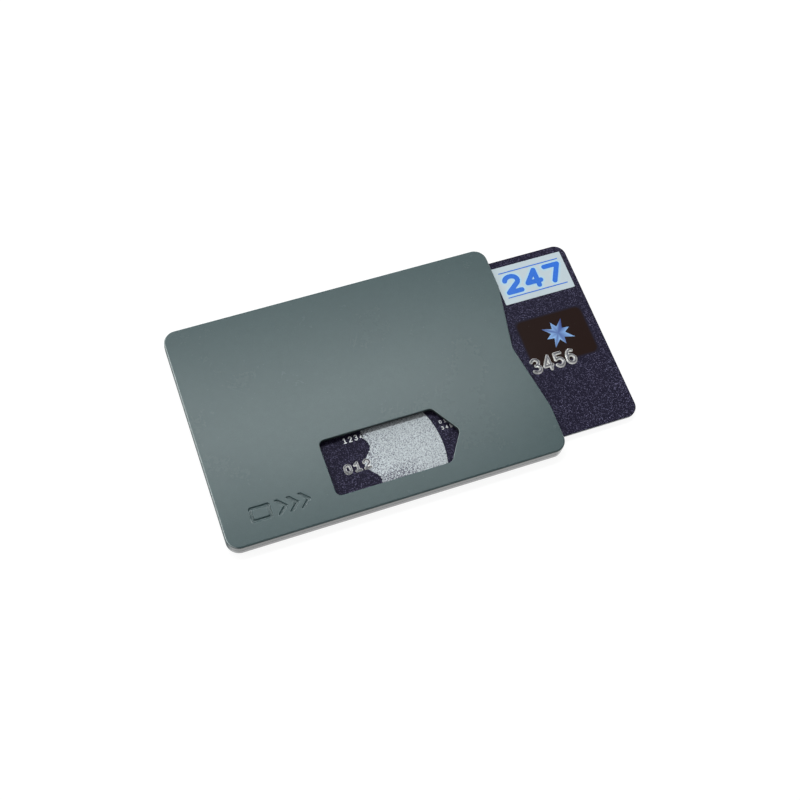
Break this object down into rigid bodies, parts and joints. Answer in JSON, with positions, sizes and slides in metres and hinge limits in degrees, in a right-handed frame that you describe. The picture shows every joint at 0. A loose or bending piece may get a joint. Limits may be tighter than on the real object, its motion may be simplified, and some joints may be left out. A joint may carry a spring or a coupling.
{
  "type": "card sleeve",
  "caption": "Flat rigid shielding sleeve for one payment card, with a pointed thumb window, a shallow notched mouth and the card slid partly out.",
  "frame": {"origin": "centre of the sleeve's flat rear face, which it lies on", "axes": "+X out of the card mouth along the sleeve's length, +Y towards its upper long side, +Z out of the front face that has the thumb window"},
  "size_m": [0.1122, 0.0624, 0.004],
  "materials": {
    "shell_plastic": "moulded grey-green plastic with a fine even texture",
    "shield_foil": "rolled foil",
    "adhesive_film": "thin clear yellowish film",
    "card_sheet": "dark violet-black laminate with fine metallic flakes",
    "card_core": "pale cut edge",
    "antenna_wire": "drawn copper",
    "chip_contacts": "gold plated",
    "chip_tape": "glass fibre tape",
    "silicon": "polished die",
    "encapsulant": "black epoxy",
    "hologram_foil": "dark embossed foil with a blue figure",
    "label_ground": "pale grey-blue print under laminate",
    "label_ink": "blue print under laminate",
    "metallic_ink": "coarse silver ink",
    "white_ink": "white print",
    "tipping_foil": "hot-stamped silver foil, worn at its edges",
    "magnetic_tape": "smooth black tape",
    "signature_ink": "writable off-white coating"
  },
  "bodies": {
    "sleeve": {"front_shell": "shell_plastic", "rear_shell": "shell_plastic", "front_shield_foil": "shield_foil", "rear_shield_foil": "shield_foil", "front_foil_adhesive": "adhesive_film", "rear_foil_adhesive": "adhesive_film"},
    "card": {"card_front_sheet": "card_sheet", "card_core": "card_core", "card_rear_sheet": "card_sheet", "antenna_coil": "antenna_wire", "chip_contact_plate": "chip_contacts", "chip_carrier_tape": "chip_tape", "chip_die": "silicon", "chip_encapsulant": "encapsulant", "hologram_patch": "hologram_foil", "label_panel": "label_ground", "label_print": "label_ink", "metallic_print_field": "metallic_ink", "small_print_numerals": "white_ink", "number_tipping_foil": "tipping_foil", "short_row_tipping_foil": "tipping_foil", "magnetic_stripe": "magnetic_tape", "signature_panel": "signature_ink"}
  },
  "joints": [
    {"name": "card_slide", "type": "slide", "parent": "sleeve", "child": "card", "axis": [1, 0, 0], "range_m": [-0.0244, 0.0644]}
  ]
}
